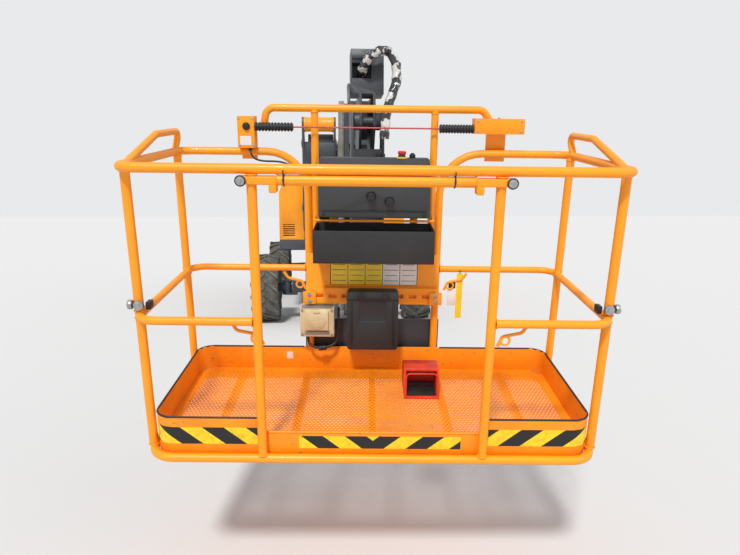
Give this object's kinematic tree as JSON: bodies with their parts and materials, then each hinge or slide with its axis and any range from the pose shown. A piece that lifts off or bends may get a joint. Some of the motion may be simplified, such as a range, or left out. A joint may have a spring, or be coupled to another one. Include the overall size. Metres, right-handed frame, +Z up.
{
  "type": "articulating boom lift",
  "caption": "Self-propelled platform lift with folding arms, telescopic boom and jib on a slewing turret, and a railed basket at the front.",
  "frame": {"origin": "on the ground under the middle of the machine's outline", "axes": "-Y is the basket end, +Y the counterweight end, +X the side with the engine, +Z up"},
  "size_m": [2.38, 9.2732, 2.6533],
  "materials": {
    "dark_paint": "satin",
    "orange_paint": "gloss",
    "orange_cover": "satin",
    "grey_paint": "satin",
    "red_paint": "satin",
    "bare_steel": "satin",
    "chromed_rod": "polished",
    "cast_weight": "matte",
    "engine_iron": "matte",
    "tyre": "matte",
    "black_rubber": "satin",
    "dark_plastic": "matte",
    "beige_plastic": "matte"
  },
  "bodies": {
    "chassis": {"chassis_frame": "dark_paint", "slew_ring": "bare_steel", "front_axle": "dark_paint", "rear_axle": "dark_paint"},
    "knuckle_left": {"steering_knuckle_left": "dark_paint"},
    "knuckle_right": {"steering_knuckle_right": "dark_paint"},
    "wheel_front_left": {"tyre_front_left": "tyre", "rim_front_left": "grey_paint"},
    "wheel_front_right": {"tyre_front_right": "tyre", "rim_front_right": "grey_paint"},
    "wheel_rear_left": {"tyre_rear_left": "tyre", "rim_rear_left": "grey_paint"},
    "wheel_rear_right": {"tyre_rear_right": "tyre", "rim_rear_right": "grey_paint"},
    "turret": {"turret_frame": "dark_paint", "counterweight": "cast_weight", "engine_block": "engine_iron"},
    "left_hood": {"hood_left": "orange_cover"},
    "right_hood": {"hood_right": "orange_cover"},
    "lower_arm_body": {"lower_arm": "dark_paint"},
    "lower_link_body": {"lower_link": "dark_paint"},
    "middle_knuckle": {"mid_knuckle": "dark_paint", "knuckle_drum": "orange_paint"},
    "upper_arm_body": {"upper_arm": "dark_paint"},
    "upper_link_body": {"upper_link": "dark_paint"},
    "upper_knuckle": {"top_knuckle": "dark_paint"},
    "arm_barrel": {"arm_cylinder_barrel": "dark_paint"},
    "arm_rod": {"arm_cylinder_rod": "chromed_rod"},
    "boom_barrel": {"boom_cylinder_barrel": "dark_paint"},
    "boom_rod": {"boom_cylinder_rod": "chromed_rod"},
    "outer_boom": {"boom_outer": "dark_paint"},
    "inner_boom": {"boom_fly": "dark_paint", "boom_head": "dark_paint", "hose_loop": "black_rubber"},
    "jib_body": {"jib": "dark_paint", "jib_lines": "black_rubber"},
    "jib_tie": {"jib_tie_rod": "grey_paint"},
    "jib_foot": {"jib_yoke": "dark_paint"},
    "jib_barrel": {"jib_cylinder_barrel": "dark_paint"},
    "jib_rod": {"jib_cylinder_rod": "chromed_rod"},
    "mount": {"basket_mount": "dark_paint"},
    "basket": {"basket_bracket": "dark_paint", "floor_ring": "orange_paint", "top_rail": "orange_paint", "side_frame_left": "orange_paint", "side_frame_right": "orange_paint", "toe_boards": "orange_paint", "basket_floor": "orange_paint", "console_hoop": "orange_paint", "shield_boxes": "orange_cover", "shield_bellows": "black_rubber", "control_console": "dark_plastic", "tool_tray": "dark_plastic", "back_panel": "orange_paint", "document_box": "dark_plastic", "socket_box": "beige_plastic", "foot_pedal": "red_paint"},
    "gate": {"gate_bar": "orange_paint"}
  },
  "joints": [
    {"name": "steer_left", "type": "hinge", "parent": "chassis", "child": "knuckle_left", "pos_m": [-0.74, 1.5814, 0.46], "axis": [0, 0, 1], "range_deg": [-30, 30]},
    {"name": "steer_right", "type": "hinge", "parent": "chassis", "child": "knuckle_right", "pos_m": [0.74, 1.5814, 0.46], "axis": [0, 0, 1], "range_deg": [-30, 30]},
    {"name": "spin_front_left", "type": "hinge", "parent": "knuckle_left", "child": "wheel_front_left", "pos_m": [-1.015, 1.5814, 0.46], "axis": [1, 0, 0], "continuous": true},
    {"name": "spin_front_right", "type": "hinge", "parent": "knuckle_right", "child": "wheel_front_right", "pos_m": [1.015, 1.5814, 0.46], "axis": [1, 0, 0], "continuous": true},
    {"name": "spin_rear_left", "type": "hinge", "parent": "chassis", "child": "wheel_rear_left", "pos_m": [-1.015, 4.1814, 0.46], "axis": [1, 0, 0], "continuous": true},
    {"name": "spin_rear_right", "type": "hinge", "parent": "chassis", "child": "wheel_rear_right", "pos_m": [1.015, 4.1814, 0.46], "axis": [1, 0, 0], "continuous": true},
    {"name": "slew", "type": "hinge", "parent": "chassis", "child": "turret", "pos_m": [0, 2.8814, 0.925], "axis": [0, 0, 1], "continuous": true},
    {"name": "open_left_hood", "type": "hinge", "parent": "turret", "child": "left_hood", "pos_m": [-0.505, 2.9614, 1.94], "axis": [0, 1, 0], "range_deg": [0, 70]},
    {"name": "open_right_hood", "type": "hinge", "parent": "turret", "child": "right_hood", "pos_m": [0.33, 2.9614, 1.94], "axis": [0, -1, 0], "range_deg": [0, 70]},
    {"name": "arm_lift", "type": "hinge", "parent": "turret", "child": "lower_arm_body", "pos_m": [-0.261, 3.9314, 1.45], "axis": [-1, 0, 0], "range_deg": [0, 72]},
    {"name": "lower_link_swing", "type": "hinge", "parent": "turret", "child": "lower_link_body", "pos_m": [-0.441, 3.9314, 1.23], "axis": [-1, 0, 0], "range_deg": [0, 72]},
    {"name": "middle_level", "type": "hinge", "parent": "lower_arm_body", "child": "middle_knuckle", "pos_m": [-0.261, 1.13311, 1.54772], "axis": [-1, 0, 0], "range_deg": [-72, 0]},
    {"name": "upper_arm_swing", "type": "hinge", "parent": "middle_knuckle", "child": "upper_arm_body", "pos_m": [-0.261, 1.13311, 2.34772], "axis": [-1, 0, 0], "range_deg": [-72, 0]},
    {"name": "upper_link_swing", "type": "hinge", "parent": "middle_knuckle", "child": "upper_link_body", "pos_m": [-0.441, 1.13311, 2.12772], "axis": [-1, 0, 0], "range_deg": [-72, 0]},
    {"name": "top_level", "type": "hinge", "parent": "upper_arm_body", "child": "upper_knuckle", "pos_m": [-0.261, 3.9314, 2.25], "axis": [-1, 0, 0], "range_deg": [0, 72]},
    {"name": "arm_cylinder_swing", "type": "hinge", "parent": "turret", "child": "arm_barrel", "pos_m": [-0.261, 3.7814, 1.03], "axis": [-1, 0, 0], "range_deg": [0, 63.47]},
    {"name": "arm_cylinder_stroke", "type": "slide", "parent": "arm_barrel", "child": "arm_rod", "axis": [0, -0.9719, 0.2354], "range_m": [0, 0.47376]},
    {"name": "boom_lift", "type": "hinge", "parent": "upper_knuckle", "child": "outer_boom", "pos_m": [0.03, 4.0314, 2.15], "axis": [-1, 0, 0], "range_deg": [0, 75]},
    {"name": "boom_cylinder_swing", "type": "hinge", "parent": "upper_knuckle", "child": "boom_barrel", "pos_m": [0.03, 3.8314, 1.85], "axis": [-1, 0, 0], "range_deg": [0, 72.65]},
    {"name": "boom_cylinder_stroke", "type": "slide", "parent": "boom_barrel", "child": "boom_rod", "axis": [0, -0.9966, 0.0823], "range_m": [0, 0.43548]},
    {"name": "telescope", "type": "slide", "parent": "outer_boom", "child": "inner_boom", "axis": [0, -1, 0], "range_m": [0, 3.9]},
    {"name": "jib_lift", "type": "hinge", "parent": "inner_boom", "child": "jib_body", "pos_m": [0.03, -3.0786, 2.08], "axis": [-1, 0, 0], "range_deg": [0, 140], "deforming": ["hose_loop"]},
    {"name": "jib_tie_swing", "type": "hinge", "parent": "inner_boom", "child": "jib_tie", "pos_m": [-0.12, -3.12223, 2.15872], "axis": [-1, 0, 0], "range_deg": [0, 140]},
    {"name": "jib_foot_level", "type": "hinge", "parent": "jib_body", "child": "jib_foot", "pos_m": [0.03, -2.88384, 0.85033], "axis": [-1, 0, 0], "range_deg": [-140, 0]},
    {"name": "jib_cylinder_swing", "type": "hinge", "parent": "inner_boom", "child": "jib_barrel", "pos_m": [0.03, -2.90648, 1.85159], "axis": [-1, 0, 0], "range_deg": [0, 137.8]},
    {"name": "jib_cylinder_stroke", "type": "slide", "parent": "jib_barrel", "child": "jib_rod", "axis": [0, 0.2034, -0.9791], "range_m": [0, 0.5362]},
    {"name": "basket_level", "type": "hinge", "parent": "jib_foot", "child": "mount", "pos_m": [0.03004, -3.11384, 0.85033], "axis": [-1, 0, 0], "range_deg": [-75, 0]},
    {"name": "basket_swivel", "type": "hinge", "parent": "mount", "child": "basket", "pos_m": [0.03004, -3.37602, 0.77487], "axis": [0, -0.1564, 0.9877], "range_deg": [-86, 94]},
    {"name": "gate_slide", "type": "slide", "parent": "basket", "child": "gate", "axis": [0, 0.1564, -0.9877], "range_m": [0, 0.42]}
  ],
  "couplings": [
    {"joint": "steer_right", "follows": "steer_left", "ratio": 1},
    {"joint": "lower_link_swing", "follows": "arm_lift", "ratio": 1},
    {"joint": "middle_level", "follows": "arm_lift", "ratio": -1},
    {"joint": "upper_arm_swing", "follows": "arm_lift", "ratio": -1},
    {"joint": "upper_link_swing", "follows": "arm_lift", "ratio": -1},
    {"joint": "top_level", "follows": "arm_lift", "ratio": 1},
    {"joint": "arm_cylinder_swing", "follows": "arm_lift", "ratio": 0.8815},
    {"joint": "arm_cylinder_stroke", "follows": "arm_lift", "m_per_rad": 0.377},
    {"joint": "boom_cylinder_swing", "follows": "boom_lift", "ratio": 0.96869},
    {"joint": "boom_cylinder_stroke", "follows": "boom_lift", "m_per_rad": 0.33267},
    {"joint": "basket_level", "follows": "boom_lift", "ratio": -1},
    {"joint": "jib_tie_swing", "follows": "jib_lift", "ratio": 1},
    {"joint": "jib_foot_level", "follows": "jib_lift", "ratio": -1},
    {"joint": "jib_cylinder_swing", "follows": "jib_lift", "ratio": 0.98429},
    {"joint": "jib_cylinder_stroke", "follows": "jib_lift", "m_per_rad": 0.21944}
  ]
}
